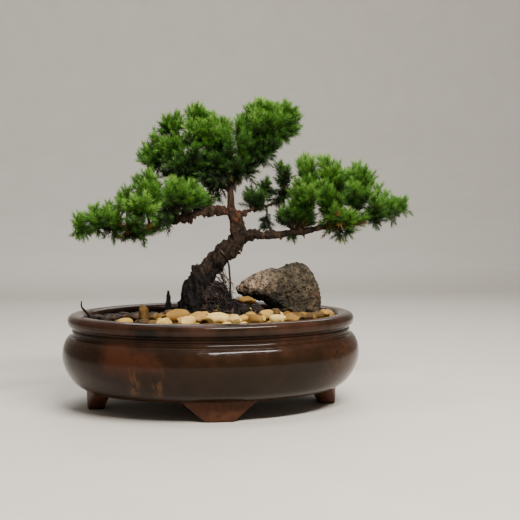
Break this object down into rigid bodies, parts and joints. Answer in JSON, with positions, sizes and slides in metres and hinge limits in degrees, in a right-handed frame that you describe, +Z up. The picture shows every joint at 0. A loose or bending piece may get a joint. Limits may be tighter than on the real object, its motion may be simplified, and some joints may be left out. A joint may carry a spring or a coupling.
{
  "type": "juniper bonsai",
  "caption": "Small juniper bonsai with a leaning trunk and spreading needle pads, in an oval glazed pot with pebbles and a rock.",
  "frame": {"origin": "centre of the whole object's footprint box, in the plane that the pot's feet stand on", "axes": "+X along the pot's long axis towards the rock, +Y from the front of the pot to its back, +Z up"},
  "size_m": [0.2392, 0.1584, 0.2159],
  "materials": {
    "glaze": "glossy dark brown glaze with reddish patches",
    "screen": "black plastic mesh",
    "soil": "dark fibrous root-bound soil",
    "bark": "rough flaking bark",
    "wire": "dark brown anodised tie wire",
    "rock": "rough pitted grey-olive rock",
    "pebble_tan": "smooth tan river pebbles",
    "pebble_brown": "smooth brown river pebbles",
    "pebble_cream": "smooth cream river pebbles",
    "needles": "green awl-shaped juniper needles on thin twigs"
  },
  "bodies": {
    "root": {"pot": "glaze", "drainage_screen_left": "screen", "drainage_screen_right": "screen", "soil": "soil", "trunk": "bark", "tie_wire": "wire", "rock": "rock", "pebble_ochre": "pebble_tan", "pebble_upright": "pebble_tan", "bark_chip": "bark", "rim_twig": "bark", "pebbles_back_right": "pebble_brown", "pebbles_back": "pebble_tan", "pebbles_back_left": "pebble_brown", "pebbles_front_left": "pebble_tan", "pebbles_front": "pebble_cream", "pebbles_front_right": "pebble_tan", "spray_left_1": "needles", "spray_left_2": "needles", "spray_left_3": "needles", "spray_left_4": "needles", "spray_left_5": "needles", "spray_left_6": "needles", "spray_left_7": "needles", "spray_left_8": "needles", "spray_left_9": "needles", "spray_left_10": "needles", "spray_crown_1": "needles", "spray_crown_2": "needles", "spray_crown_3": "needles", "spray_crown_4": "needles", "spray_crown_5": "needles", "spray_crown_6": "needles", "spray_crown_7": "needles", "spray_crown_8": "needles", "spray_crown_9": "needles", "spray_top_1": "needles", "spray_top_2": "needles", "spray_top_3": "needles", "spray_top_4": "needles", "spray_top_5": "needles", "spray_top_6": "needles", "spray_top_7": "needles", "spray_top_8": "needles", "spray_middle_1": "needles", "spray_middle_2": "needles", "spray_middle_3": "needles", "spray_middle_4": "needles", "spray_right_1": "needles", "spray_right_2": "needles", "spray_right_3": "needles", "spray_right_4": "needles", "spray_right_5": "needles", "spray_right_6": "needles", "spray_right_7": "needles", "spray_right_8": "needles", "spray_right_9": "needles", "spray_right_10": "needles", "spray_right_11": "needles", "spray_right_12": "needles"}
  },
  "joints": []
}
